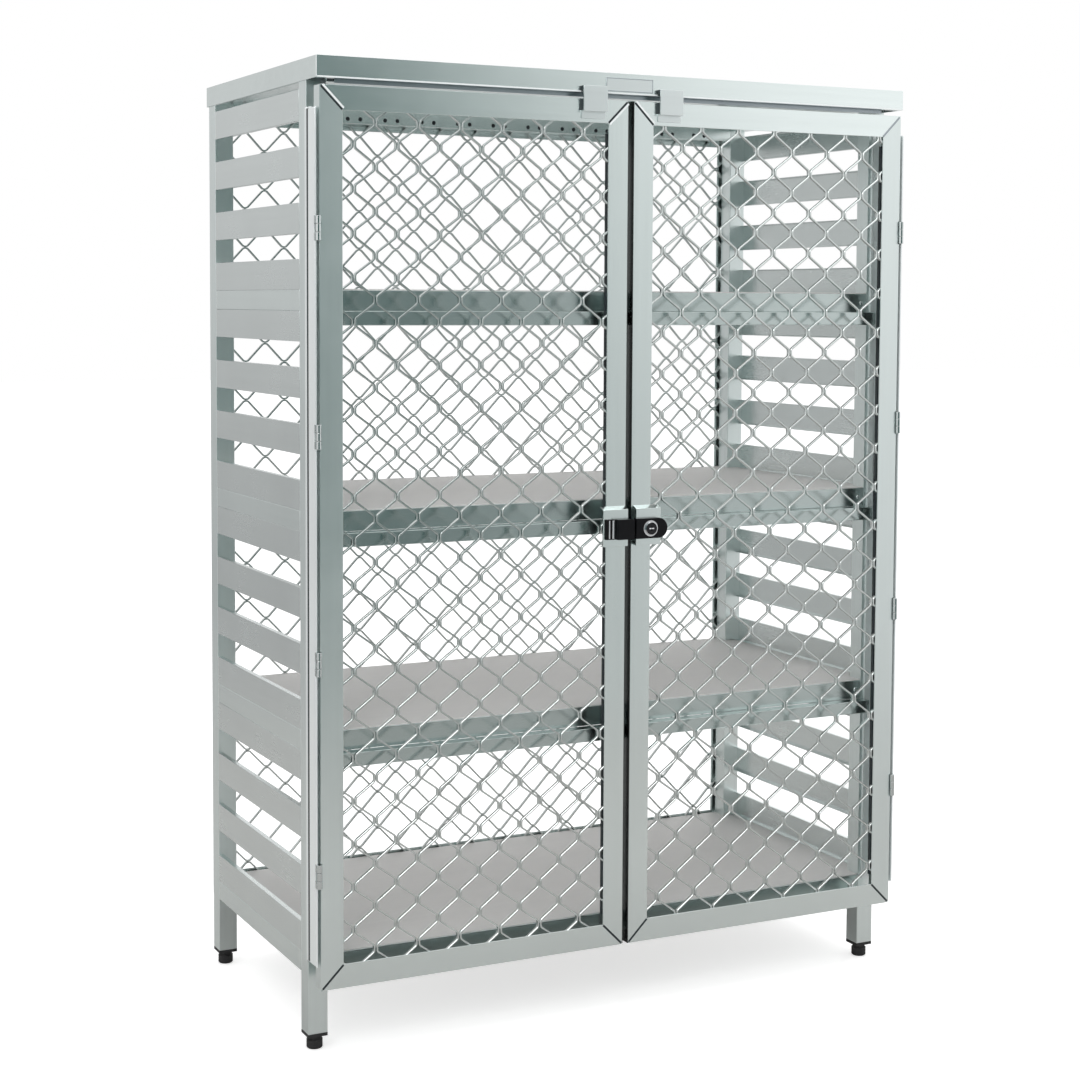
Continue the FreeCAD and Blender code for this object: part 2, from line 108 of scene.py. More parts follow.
class MeshSizes(bpy.types.PropertyGroup):
    """Sizes of the strand mesh, as in the frame."""
    pitch: FloatProperty(name="Pitch", description="Between contacts along a row",
                         default=0.084, unit="LENGTH")
    row: FloatProperty(name="Row", description="Between rows of contacts",
                       default=0.0396, unit="LENGTH")
    contact: FloatProperty(name="Contact", description="Length where two strands meet",
                           default=0.013, unit="LENGTH")
    turned_contact: FloatProperty(name="Rear contact", default=0.008, unit="LENGTH",
                                  description="Length where the rear mesh's strands meet")
    spacing: FloatProperty(name="Spacing", description="Between two strands at a contact",
                           default=0.0054, unit="LENGTH")
    strand: FloatProperty(name="Strand", description="Width of one strand",
                          default=0.0033, unit="LENGTH")
    bend: FloatProperty(name="Bend", description="Radius of a strand's bends",
                        default=0.006, unit="LENGTH")
    corner: FloatProperty(name="Corner", description="Rounding of a strand's section",
                          default=0.0006, unit="LENGTH")
    left_contact: FloatVectorProperty(name="Left contact", size=2, unit="LENGTH",
                                      description="A contact of the left door's mesh, x and z",
                                      default=(-0.563, 1.4236))
    right_contact: FloatVectorProperty(name="Right contact", size=2, unit="LENGTH",
                                       description="A contact of the right door's mesh, x and z",
                                       default=(0.579, 1.402))
    lower_contact: FloatVectorProperty(name="Lower contact", size=2, unit="LENGTH",
                                       description="A contact of the lower rear mesh, x and z",
                                       default=(-0.556, 0.993))
    upper_contact: FloatVectorProperty(name="Upper contact", size=2, unit="LENGTH",
                                       description="A contact of the upper rear mesh, x and z",
                                       default=(-0.556, 1.017))


class TrimSizes(bpy.types.PropertyGroup):
    """Sizes of the small trim."""
    edge: FloatProperty(name="Edge", description="Rounding of sheet edges",
                        default=0.0005, unit="LENGTH")
    tube_corner: FloatProperty(name="Tube corner", description="Rounding of the tubes' corners",
                               default=0.0018, unit="LENGTH")
    rivet_radius: FloatProperty(name="Rivet", description="Radius of a rivet's head",
                                default=0.0045, unit="LENGTH")
    rivet_height: FloatProperty(name="Rivet height", description="Height of a rivet's head",
                                default=0.0016, unit="LENGTH")
    rivet_sides: IntProperty(name="Rivet sides", description="Sides of a rivet's head",
                             default=14, min=6)
    sheet: FloatProperty(name="Jamb sheet", description="Thickness of the jambs' sheet",
                         default=0.003, unit="LENGTH")
    flange: FloatProperty(name="Jamb flange", description="Depth of the jambs' front flange",
                          default=0.034, unit="LENGTH")
    # Painted shade: a thin dark strip on each jamb's web, where the recess behind its front
    # flange lies in shade.
    shade_strip_sheet: FloatProperty(name="Seal sheet", description="Thickness of the jambs' seals",
                              default=0.0002, unit="LENGTH")
    shade_strip_width: FloatProperty(name="Seal width", description="Width of the jambs' seals",
                              default=0.0155, unit="LENGTH")
    rear_reach: FloatProperty(name="Rear reach", unit="LENGTH", default=0.013,
                              description="How much narrower the doors' rear flanges are")
    # Painted highlight: height of the bright strip along the cap's lower edge
    cap_highlight: FloatProperty(name="Cap lip", description="Height of the bright lip of the cap",
                           default=0.0028, unit="LENGTH")
    plate_sheet: FloatProperty(name="Plate sheet", description="Thickness of a stop plate",
                               default=0.002, unit="LENGTH")
    # Painted shade: dark blocks in the open side behind each stop plate
    pad: FloatProperty(name="Pad", description="Width of the pads behind a stop plate",
                       default=0.007, unit="LENGTH")
    # The dark joint of a corner is partly painted shade; the bright strip beside it is a painted
    # highlight.
    joint: FloatProperty(name="Joint", description="Width of the dark joint of a corner",
                         default=0.004, unit="LENGTH")
    lip: FloatProperty(name="Lip", description="Width of the bright lip of a corner",
                       default=0.0038, unit="LENGTH")
    collar: FloatProperty(name="Collar", description="Radius of the key cylinder's collar",
                          default=0.0155, unit="LENGTH")
    # Painted shade: dark strips in the stiles' open channels beside the meshes
    channel_shade: FloatProperty(name="Spline", description="Depth of the black splines of the meshes",
                          default=0.008, unit="LENGTH")
    # Painted shadow: dark heads on the rear top rail where the rear mesh's strands shade it
    shadow_mark_rise: FloatProperty(name="Hook rise", unit="LENGTH", default=0.010,
                             description="Of the rear mesh's hooks above the top rail's edge")
    plate_size: FloatVectorProperty(name="Name plate", size=3, unit="LENGTH",
                                    description="The bare plate on the cap: x, y and z",
                                    default=(0.101, 0.0012, 0.0255))


class StageSizes(bpy.types.PropertyGroup):
    """Camera and floor."""
    camera_place: FloatVectorProperty(name="Camera", description="The camera's place", size=3,
                                      subtype="TRANSLATION", default=(-1.8790, -3.6798, 1.3826))
    heading: FloatProperty(name="Heading", description="Turn of the view from +Y to +X",
                           default=math.radians(26.596), subtype="ANGLE")
    tilt: FloatProperty(name="Tilt", description="Tilt of the view above level",
                        default=math.radians(-3.707), subtype="ANGLE")
    roll: FloatProperty(name="Roll", description="Roll of the view",
                        default=math.radians(0.283), subtype="ANGLE")
    lens: FloatProperty(name="Lens", description="Focal length in millimetres", default=67.04)
    shift: FloatProperty(name="Shift", description="The lens's vertical shift", default=-0.10)
    floor_side: FloatProperty(name="Floor", description="Side of the floor", default=60.0,
                              unit="LENGTH")


class CageSettings(bpy.types.PropertyGroup):
    """Everything that the panel shows."""
    finish: PointerProperty(type=CageFinish)
    mesh: PointerProperty(type=MeshSizes)
    trim: PointerProperty(type=TrimSizes)
    stage: PointerProperty(type=StageSizes)


# Node trees

class Value:
    """An output of a node. Arithmetic on it adds Math nodes."""

    def __init__(self, graph, node, output=0):
        self.graph = graph
        self.node = node
        self.socket = node.outputs[output]

    def out(self, output):
        """Another output of the same node."""
        return Value(self.graph, self.node, output)

    def math(self, operation, *values):
        return self.graph.node("ShaderNodeMath", {"operation": operation}, values)

    def __add__(self, other):
        return self.math("ADD", self, other)

    def __sub__(self, other):
        return self.math("SUBTRACT", self, other)

    def __mul__(self, other):
        return self.math("MULTIPLY", self, other)

    def __truediv__(self, other):
        return self.math("DIVIDE", self, other)

    def __mod__(self, other):
        return self.math("FLOORED_MODULO", self, other)

    def __radd__(self, other):
        return self.math("ADD", other, self)

    def __rsub__(self, other):
        return self.math("SUBTRACT", other, self)

    def __rmul__(self, other):
        return self.math("MULTIPLY", other, self)

    def __rtruediv__(self, other):
        return self.math("DIVIDE", other, self)

    def floor(self):
        return self.math("FLOOR", self)

    def clamped(self):
        return self.math("MAXIMUM", self.math("MINIMUM", self, 1.0), 0.0)


class Graph:
    """A node tree that is written as expressions."""

    def __init__(self, tree):
        self.tree = tree

    def node(self, kind, settings=None, inputs=(), output=0):
        """Adds a node: its settings first, then the values or links of its sockets."""
        made = self.tree.nodes.new(kind)
        for name, value in (settings or {}).items():
            setattr(made, name, value)
        pairs = inputs.items() if isinstance(inputs, dict) else enumerate(inputs)
        for key, value in pairs:
            if isinstance(value, Value):
                self.tree.links.new(value.socket, made.inputs[key])
            elif value is not None:
                made.inputs[key].default_value = value
        return Value(self, made, output) if len(made.outputs) else made

    def mix(self, factor, first, second):
        """Blends two colours."""
        return self.node("ShaderNodeMix", {"data_type": "RGBA"},
                         {0: factor, 6: first, 7: second}, output=2)


def opaque(colour, level=1.0):
    """A colour with full alpha, made lighter or darker."""
    return tuple(min(1.0, part * level) for part in colour) + (1.0,)


# Finishes

def new_material(name):
    """An empty node material, its graph and the object's coordinates in it."""
    material = bpy.data.materials.new(name)
    material.use_nodes = True
    material.node_tree.nodes.clear()
    graph = Graph(material.node_tree)
    return material, graph, graph.node("ShaderNodeTexCoord").out("Object")


def close_material(graph, inputs):
    """Ends a material with one shader."""
    shader = graph.node("ShaderNodeBsdfPrincipled", {}, inputs)
    graph.node("ShaderNodeOutputMaterial", {}, {"Surface": shader})


def relief(graph, height, strength, depth):
    """Fine relief that follows a height."""
    return graph.node("ShaderNodeBump", {}, {"Strength": strength, "Distance": depth,
                                             "Height": height})


def grain(graph, place, scale, detail=2.0):
    """Noise stretched by a scale along each axis."""
    placed = graph.node("ShaderNodeMapping", {}, {"Vector": place, "Scale": scale})
    return graph.node("ShaderNodeTexNoise", {}, {"Vector": placed, "Scale": 1.0,
                                                 "Detail": detail, "Roughness": 0.6})


def satin_metal(name, colour, roughness, along, metallic=1.0, contrast=0.10, gap_shade=0.0):
    """Drawn or rolled metal with a fine grain along one axis and faint handling marks.
    Painted shade: within the given width of the middle of the front it is dark, for the
    shade in the gap between the doors."""
    material, graph, place = new_material(name)
    fine = tuple(14.0 if axis == along else 320.0 for axis in "xyz")
    streak = tuple(1.5 if axis == along else 70.0 for axis in "xyz")
    lines = grain(graph, place, fine)
    streaks = grain(graph, place, streak)
    marks = grain(graph, place, (5.0, 5.0, 5.0), detail=4.0)
    tone = (marks * 0.6 + streaks * 0.4).clamped()
    base = graph.mix(tone, opaque(colour, 1.0 - contrast), opaque(colour, 1.0 + contrast))
    # Painted shade: dark within the given width of the middle, for the gap between the doors
    if gap_shade:
        across = graph.node("ShaderNodeSeparateXYZ", {}, [place])
        gap = across.math("LESS_THAN", across.math("ABSOLUTE", across), gap_shade)
        base = graph.mix(gap, base, opaque(colour, 0.12))
    gloss = roughness - 0.06 + marks * 0.10 + lines * 0.04
    close_material(graph, {"Base Color": base, "Metallic": metallic, "Roughness": gloss,
                           "Normal": relief(graph, lines, strength=0.05, depth=0.0002)})
    return material


def key_face(name, colour, dark, ring=0.0118, slot=(0.0052, 0.0011)):
    """A polished ring round a dark face with a bright key slot."""
    material, graph, place = new_material(name)
    low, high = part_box("right_door_key_cylinder")
    middle = (low + high) / 2
    from_middle = graph.node("ShaderNodeVectorMath", {"operation": "SUBTRACT"},
                             {0: place, 1: (middle.x, 0.0, middle.z)})
    parts = graph.node("ShaderNodeSeparateXYZ", {}, [from_middle])
    across, up = parts, parts.out(2)
    square = across * across + up * up
    radius = square.math("SQRT", square)
    inside = radius.math("LESS_THAN", radius, ring)
    cut = across.math("LESS_THAN", across.math("ABSOLUTE", across), slot[0])
    cut = cut * up.math("LESS_THAN", up.math("ABSOLUTE", up), slot[1])
    worn = grain(graph, place, (900.0, 900.0, 900.0))
    base = graph.mix(inside * (1.0 - cut), opaque(colour), opaque(dark, 2.0))
    close_material(graph, {"Base Color": base, "Metallic": 1.0 - inside * 0.7,
                           "Roughness": 0.10 + worn * 0.12})
    return material


def moulded(name, colour, roughness, specular=0.5):
    """Moulded plastic or black enamel with a faint orange peel."""
    material, graph, place = new_material(name)
    peel = grain(graph, place, (600.0, 600.0, 600.0))
    dust = grain(graph, place, (40.0, 40.0, 40.0), detail=5.0)
    dusty = opaque(tuple(part + 0.02 for part in colour))
    close_material(graph, {"Base Color": graph.mix(dust * 0.35, opaque(colour), dusty),
                           "Roughness": roughness + dust * 0.15,
                           "Specular IOR Level": specular,
                           "Normal": relief(graph, peel, strength=0.10, depth=0.0003)})
    return material


def sheet_metal(name, colour):
    """Matte rolled sheet with soft wear where goods slide."""
    material, graph, place = new_material(name)
    rolled = grain(graph, place, (1.0, 120.0, 120.0))
    wear = grain(graph, place, (3.0, 7.0, 3.0), detail=5.0)
    tone = (wear * 0.7 + rolled * 0.3).clamped()
    base = graph.mix(tone, opaque(colour, 0.92), opaque(colour, 1.08))
    close_material(graph, {"Base Color": base, "Metallic": 0.35,
                           "Roughness": 0.55 + wear * 0.15,
                           "Normal": relief(graph, rolled, strength=0.08, depth=0.0003)})
    return material


def make_finishes(colours):
    """Every finish of the cage, by its name."""
    tube = colours.tube
    rough = colours.tube_roughness
    made = (
        satin_metal("tube_upright", tube, rough + 0.09, "z"),
        satin_metal("tube_across", tube, rough, "x"),
        satin_metal("lock_stile", tube, rough, "z", gap_shade=colours.gap_shade),
        satin_metal("tube_deep", tube, rough, "y"),
        # Painted shade: a darker copy of the tube for the rails in front of the shelves
        satin_metal("shaded_shelf_rail", colours.rail, rough, "x"),
        satin_metal("jamb", colours.lip, 0.32, "z", metallic=0.55, contrast=0.05),
        satin_metal("rim", colours.shade, 0.3, "x"),
        satin_metal("slat_sheet", colours.slat, rough + 0.04, "y"),
        satin_metal("strand", colours.strand, rough, "z"),
        satin_metal("hinge", colours.hinge, rough - 0.04, "z"),
        satin_metal("key", colours.key, 0.14, "y", contrast=0.04),
        key_face("key_face", colours.key, colours.latch),
        satin_metal("plate", colours.plate, 0.3, "x"),
        # Painted highlights on edges that catch the light
        satin_metal("lip", colours.lip, 0.45, "x", metallic=0.3, contrast=0.03),
        # Joint lines and painted shade
        moulded("joint_and_shade", colours.joint_and_shade, 0.45),
        sheet_metal("shelf", colours.shelf),
        moulded("latch", colours.latch, 0.16, specular=0.12),
        moulded("foot", colours.foot, 0.5),
    )
    return {material.name: material for material in made}


finishes = {}

# A CAD piece's finish comes from its slot, or else from the start or the end of its name
finish_of_slot = {"foot_plastic": "foot", "latch_black": "latch", "key_chrome": "key_face",
                  "hinge_steel": "hinge", "shelf_sheet": "shelf"}
finish_of_start = {"side_slats": "slat_sheet", "side_rails": "tube_deep", "jamb": "jamb",
                   "front_rails": "shaded_shelf_rail", "stop_rails": "shaded_shelf_rail",
                   "post": "tube_upright"}
finish_of_end = {"lock_stile": "lock_stile", "stop_plate": "plate", "stile": "tube_upright"}


def finish_of(node):
    """The finish of a CAD piece, with its grain along the piece."""
    slot = slot_of_node[node]
    if slot in finish_of_slot:
        return finish_of_slot[slot]
    for start, finish in finish_of_start.items():
        if node.startswith(start):
            return finish
    for end, finish in finish_of_end.items():
        if node.endswith(end):
            return finish
    return "tube_across"


# Making pieces

def add_piece(name, mesh, material):
    """A new object at the origin with one material."""
    mesh.materials.clear()
    mesh.materials.append(finishes[material])
    piece = bpy.data.objects.new(name, mesh)
    bpy.context.scene.collection.objects.link(piece)
    return piece


def seat(piece, body, slot, *nodes):
    """Lets a finished piece ride on its body and stand for the CAD pieces it replaces."""
    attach(piece, body)
    if nodes:
        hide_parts(*nodes)


def set_shading(mesh, sharp=math.radians(20), flat_area=2e-4):
    """Smooth faces with sharp edges where they turn. Large faces are flat."""
    mesh.shade_smooth()
    mesh.set_sharp_from_angle(angle=sharp)
    for face in mesh.polygons:
        face.use_smooth = face.area < flat_area


def bake_mesh(piece):
    """Turns an object and its modifiers into a plain mesh."""
    graph = bpy.context.evaluated_depsgraph_get()
    mesh = bpy.data.meshes.new_from_object(piece.evaluated_get(graph))
    piece.modifiers.clear()
    old = piece.data
    piece.data = mesh
    bpy.data.meshes.remove(old)


def stile_width(door):
    """The width of a door's stiles and rails."""
    low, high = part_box(door + "_hinge_stile")
    return high.x - low.x


def narrow_rear(form, node, reach):
    """Moves the free edge of a door channel's rear flange out towards its web, so that the
    flange is narrower by reach."""
    door = node[:node.index("_door") + len("_door")]
    low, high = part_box(door + "_rails")
    width = stile_width(door)
    flange = 0.003
    near = 0.0012
    for vert in form.verts:
        if vert.co.y < high.y - flange:
            continue
        left = abs(vert.co.x - low.x - width) < near
        right = abs(vert.co.x - high.x + width) < near
        bottom = abs(vert.co.z - low.z - width) < near
        top = abs(vert.co.z - high.z + width) < near
        if (left or right) and (bottom or top):
            vert.co.x += reach * (right - left)
            vert.co.z += reach * (top - bottom)


def dress(node, edge, reach=0.0):
    """A copy of a CAD piece with its edges rounded, which stands for it."""
    mesh = frame["nodes"][node].data.copy()
    mesh.attributes.remove(mesh.attributes["custom_normal"])
    form = bmesh.new()
    form.from_mesh(mesh)
    bmesh.ops.remove_doubles(form, verts=form.verts, dist=1e-6)
    bmesh.ops.dissolve_limit(form, angle_limit=math.radians(0.5), verts=form.verts,
                             edges=form.edges)
    if reach:
        narrow_rear(form, node, reach)
    form.to_mesh(mesh)
    form.free()
    piece = add_piece(node + "_finished", mesh, finish_of(node))
    bevel = piece.modifiers.new("edge", "BEVEL")
    bevel.width = edge
    bevel.segments = 2
    bevel.limit_method = "ANGLE"
    bevel.angle_limit = math.radians(40)
    bake_mesh(piece)
    set_shading(piece.data)
    seat(piece, body_of_node[node], slot_of_node[node], node)


# Trees of Geometry Nodes

def new_tree(name, numbers, counts, on_points=False):
    """An empty tree with named inputs."""
    tree = bpy.data.node_groups.new(name, "GeometryNodeTree")
    tree.interface.new_socket("Geometry", in_out="OUTPUT", socket_type="NodeSocketGeometry")
    sockets = [("Geometry", "Geometry")] if on_points else []
    sockets += [(number, "Float") for number in numbers]
    sockets += [(count, "Int") for count in counts]
    for socket, kind in sockets + [("Finish", "Material")]:
        tree.interface.new_socket(socket, in_out="INPUT", socket_type="NodeSocket" + kind)
    graph = Graph(tree)
    return tree, graph, graph.node("NodeGroupInput")


def close_tree(graph, given, many):
    """Ends a tree: its instances are made real and get their finish."""
    many = graph.node("GeometryNodeRealizeInstances", {}, {"Geometry": many})
    many = graph.node("GeometryNodeSetMaterial", {}, {"Geometry": many,
                                                      "Material": given.out("Finish")})
    graph.node("NodeGroupOutput", {}, {"Geometry": many})


def grow(piece, tree, values):
    """Gives a piece the mesh that a tree makes, with the tree's inputs set by their names."""
    modifier = piece.modifiers.new(tree.name, "NODES")
    modifier.node_group = tree
    for item in tree.interface.items_tree:
        if item.item_type == "SOCKET" and item.in_out == "INPUT" and item.name in values:
            modifier[item.identifier] = values[item.name]
    bake_mesh(piece)


# Mesh of strands

def one_strand(graph, given):
    """A zigzag strand, flat in x and y."""
    index = graph.node("GeometryNodeInputIndex")
    number = (index / 2.0).floor()
    side = number % 2.0
    end = index % 2.0
    left = given.out("Spacing") * 0.5
    reach = given.out("Pitch") * 0.5 - given.out("Spacing")
    place = graph.node("ShaderNodeCombineXYZ", {}, [
        left + side * reach, number * given.out("Row") + (end - 0.5) * given.out("Contact"), 0.0])
    line = graph.node("GeometryNodeMeshLine", {}, {"Count": given.out("Rows") * 2.0})
    line = graph.node("GeometryNodeSetPosition", {}, {"Geometry": line, "Position": place})
    path = graph.node("GeometryNodeMeshToCurve", {}, {"Mesh": line})
    path = graph.node("GeometryNodeFilletCurve", {"mode": "POLY"}, {
        "Curve": path, "Radius": given.out("Bend"), "Limit Radius": True, "Count": 2})
    path = graph.node("GeometryNodeSetCurveNormal", {"mode": "Z_UP"}, {"Curve": path})
    section = graph.node("GeometryNodeCurvePrimitiveQuadrilateral", {}, {
        "Width": given.out("Strand"), "Height": given.out("Depth")})
    section = graph.node("GeometryNodeFilletCurve", {"mode": "POLY"}, {
        "Curve": section, "Radius": given.out("Corner"), "Limit Radius": True, "Count": 1})
    return graph.node("GeometryNodeCurveToMesh", {}, {
        "Curve": path, "Profile Curve": section, "Fill Caps": True})


def strand_tree():
    """A tree that lays strands side by side, every second one a row lower, and sets them
    upright, in x and z."""
    tree, graph, given = new_tree(
        "strands", ("Pitch", "Row", "Contact", "Spacing", "Strand", "Depth", "Bend", "Corner"),
        ("Strands", "Rows"))
    strand = one_strand(graph, given)
    step = graph.node("ShaderNodeCombineXYZ", {}, [given.out("Pitch") * 0.5, 0.0, 0.0])
    places = graph.node("GeometryNodeMeshLine", {}, {"Count": given.out("Strands"),
                                                     "Offset": step})
    index = graph.node("GeometryNodeInputIndex")
    drop = graph.node("ShaderNodeCombineXYZ", {}, [
        0.0, (index % 2.0) * given.out("Row") * -1.0, 0.0])
    places = graph.node("GeometryNodeSetPosition", {}, {"Geometry": places, "Offset": drop})
    many = graph.node("GeometryNodeInstanceOnPoints", {}, {"Points": places,
                                                           "Instance": strand})
    many = graph.node("GeometryNodeTransform", {}, {
        "Geometry": many, "Rotation": (math.radians(90), 0.0, 0.0)})
    close_tree(graph, given, many)
    return tree


def trim_to_box(mesh, low, high):
    """Cuts a mesh to a box in x and z and closes the cuts."""
    form = bmesh.new()
    form.from_mesh(mesh)
    for axis in (0, 2):
        for limit, sign in ((low, -1.0), (high, 1.0)):
            normal = Vector((0.0, 0.0, 0.0))
            normal[axis] = sign
            point = Vector((0.0, 0.0, 0.0))
            point[axis] = limit[axis]
            cut = bmesh.ops.bisect_plane(form, geom=form.verts[:] + form.edges[:] + form.faces[:],
                                         plane_co=point, plane_no=normal, clear_outer=True)
            edges = [item for item in cut["geom_cut"] if isinstance(item, bmesh.types.BMEdge)]
            bmesh.ops.holes_fill(form, edges=edges, sides=0)
    bmesh.ops.recalc_face_normals(form, faces=form.faces[:])
    form.to_mesh(mesh)
    form.free()


# Left between two strands of the rear mesh where they meet
REAR_GAP = 0.0003


def weave(node, contact, tree, sizes, turned=False):
    """The strand mesh that stands for one CAD mesh panel. The strands run up, or across the
    panel where they are turned. Side and rise are x and z, or z and -x where they are turned."""
    low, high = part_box(node)
    if turned:
        pitch, row, length = sizes.row * 2, sizes.pitch / 2, sizes.turned_contact
        spacing = sizes.strand + REAR_GAP
        side, rise = contact[1], -contact[0]
        side_low, side_high, rise_low, rise_high = low.z, high.z, -high.x, -low.x
        turn = Matrix(((0, 0, -1, 0), (0, 1, 0, 0), (1, 0, 0, 0), (0, 0, 0, 1)))
    else:
        pitch, row, length = sizes.pitch, sizes.row, sizes.contact
        spacing = sizes.spacing
        side, rise = contact
        side_low, side_high, rise_low, rise_high = low.x, high.x, low.z, high.z
        turn = Matrix.Identity(4)
    columns_before = math.ceil((side - side_low) / (pitch / 2))
    columns_before += columns_before % 2
    rows_below = math.ceil((rise - rise_low) / row) + 1
    rows_below += rows_below % 2
    side_start = side - columns_before * pitch / 2
    rise_start = rise - rows_below * row
    strands = math.ceil((side_high - side_start) / (pitch / 2)) + 1
    rows = math.ceil((rise_high - rise_start) / row) + 3
    mesh = bpy.data.meshes.new(node + "_strands")
    piece = add_piece(node + "_strands", mesh, "strand")
    grow(piece, tree, {
        "Pitch": pitch, "Row": row, "Contact": length,
        "Spacing": spacing, "Strand": sizes.strand, "Depth": high.y - low.y,
        "Bend": sizes.bend, "Corner": sizes.corner, "Strands": strands, "Rows": rows,
        "Finish": finishes["strand"]})
    middle = (low.y + high.y) / 2
    piece.data.transform(turn @ Matrix.Translation((side_start, middle, rise_start)))
    trim_to_box(piece.data, low, high)
    set_shading(piece.data)
    seat(piece, body_of_node[node], slot_of_node[node], node)


# Rivets

def rivet_tree():
    """A tree that sets a round head on each point of a mesh, facing along an attribute."""
    tree, graph, given = new_tree("rivets", ("Radius", "Height"), ("Sides",), on_points=True)
    head = graph.node("GeometryNodeMeshUVSphere", {}, {
        "Segments": given.out("Sides"), "Rings": 8, "Radius": given.out("Radius")})
    flat = graph.node("ShaderNodeCombineXYZ", {}, [
        1.0, 1.0, given.out("Height") / given.out("Radius")])
    head = graph.node("GeometryNodeTransform", {}, {"Geometry": head, "Scale": flat})
    facing = graph.node("GeometryNodeInputNamedAttribute", {"data_type": "FLOAT_VECTOR"},
                        {"Name": "facing"})
    turn = graph.node("FunctionNodeAlignRotationToVector", {"axis": "Z"}, {"Vector": facing})
    many = graph.node("GeometryNodeInstanceOnPoints", {}, {
        "Points": given.out("Geometry"), "Instance": head, "Rotation": turn})
    close_tree(graph, given, many)
    return tree


def rivet_row(name, places, tree, trim, finish):
    """Heads at given places on the cabinet that face the front, as one mesh."""
    mesh = bpy.data.meshes.new(name)
    mesh.from_pydata(places, [], [])
    facing = mesh.attributes.new("facing", "FLOAT_VECTOR", "POINT")
    for item in facing.data:
        item.vector = (0.0, -1.0, 0.0)
    piece = add_piece(name, mesh, finish)
    grow(piece, tree, {"Radius": trim.rivet_radius, "Height": trim.rivet_height,
                       "Sides": trim.rivet_sides, "Finish": finishes[finish]})
    set_shading(piece.data, sharp=math.radians(50))
    seat(piece, "cabinet", "hinge_steel")


# Small trim

def block(low, high, radius=0.0, segments=2):
    """A mesh box between two corners, its edges rounded."""
    form = bmesh.new()
    bmesh.ops.create_cube(form, size=1.0)
    size = [top - bottom for bottom, top in zip(low, high)]
    middle = [(bottom + top) / 2 for bottom, top in zip(low, high)]
    bmesh.ops.scale(form, vec=size, verts=form.verts)
    bmesh.ops.translate(form, vec=middle, verts=form.verts)
    if radius:
        bmesh.ops.bevel(form, geom=form.edges[:], offset=radius, segments=segments,
                        affect="EDGES", profile=0.5)
    return form


def joined_mesh(name, forms):
    """One mesh from several small forms."""
    whole = bmesh.new()
    for form in forms:
        part = bpy.data.meshes.new(name)
        form.to_mesh(part)
        form.free()
        whole.from_mesh(part)
        bpy.data.meshes.remove(part)
    mesh = bpy.data.meshes.new(name)
    whole.to_mesh(mesh)
    whole.free()
    return mesh


def add_trim(name, forms, finish, body, slot="frame_aluminium"):
    """One piece of trim from small forms, which rides on a body."""
    piece = add_piece(name, joined_mesh(name, forms), finish)
    set_shading(piece.data)
    seat(piece, body, slot)


# How deep flat strips and rings sink into the face that carries them
SUNK = 0.0003


def slanted_strip(start, end, offset, width, front, height):
    """A thin strip along a slanting line in x and z, moved aside by offset, on the face front."""
    along = (Vector(end) - Vector(start)).normalized()
    aside = Vector((along.y, -along.x))
    if aside.x < 0:
        aside = -aside
    form = bmesh.new()
    near, far = aside * offset, aside * (offset + width)
    start, end = Vector(start), Vector(end)
    corners = (start + near, end + near, end + far, start + far)
    lower = [form.verts.new((corner.x, front + SUNK, corner.y)) for corner in corners]
    upper = [form.verts.new((corner.x, front - height, corner.y)) for corner in corners]
    form.faces.new(lower)
    form.faces.new(upper[::-1])
    for i in range(4):
        form.faces.new((lower[i], upper[i], upper[(i + 1) % 4], lower[(i + 1) % 4]))
    bmesh.ops.recalc_face_normals(form, faces=form.faces[:])
    return form


def ring_form(centre, inner, outer, face, height, sides=40):
    """A flat ring about a centre in x and z, that stands out of a face towards -y."""
    form = bmesh.new()
    section = ((outer, face + SUNK), (outer, face - height), (inner, face - height),
               (inner, face + SUNK))
    loops = []
    for i in range(sides):
        turn = math.tau * i / sides
        loops.append([form.verts.new((centre[0] + radius * math.cos(turn), y,
                                      centre[1] + radius * math.sin(turn)))
                      for radius, y in section])
    for i, loop in enumerate(loops):
        after = loops[(i + 1) % sides]
        for k in range(4):
            form.faces.new((loop[k], after[k], after[(k + 1) % 4], loop[(k + 1) % 4]))
    bmesh.ops.recalc_face_normals(form, faces=form.faces[:])
    return form


# Operators, one for each piece or group of like pieces

class CAGE_OT_finishes(bpy.types.Operator):
    """Make every finish"""
    bl_idname = "cage.finishes"
    bl_label = "Finishes"

    def execute(self, context):
        finishes.update(make_finishes(context.scene.cage.finish))
        return {"FINISHED"}


class CAGE_OT_framework(bpy.types.Operator):
    """Dress the posts, rails, cap, shelves, slats and jambs"""
    bl_idname = "cage.framework"
    bl_label = "Framework"

    def execute(self, context):
        trim = context.scene.cage.trim
        for node, body in body_of_node.items():
            if body != "cabinet" or "mesh" in node or node.startswith(("foot", "hinges")):
                continue
            tube = node.startswith("post") or node.endswith("rails") or "_rails_" in node
            dress(node, trim.tube_corner if tube else trim.edge)
        return {"FINISHED"}


class CAGE_OT_feet(bpy.types.Operator):
    """Dress the levelling feet"""
    bl_idname = "cage.feet"
    bl_label = "Feet"

    def execute(self, context):
        for node in body_of_node:
            if node.startswith("foot"):
                dress(node, context.scene.cage.trim.edge)
        return {"FINISHED"}


class CAGE_OT_doors(bpy.types.Operator):
    """Dress the doors' borders, stop plates and saddles"""
    bl_idname = "cage.doors"
    bl_label = "Doors"

    def execute(self, context):
        trim = context.scene.cage.trim
        for node in body_of_node:
            if node.endswith(("stile", "door_rails")):
                dress(node, trim.edge, trim.rear_reach)
            elif node.endswith(("stop_plate", "saddle")):
                dress(node, trim.edge)
        return {"FINISHED"}


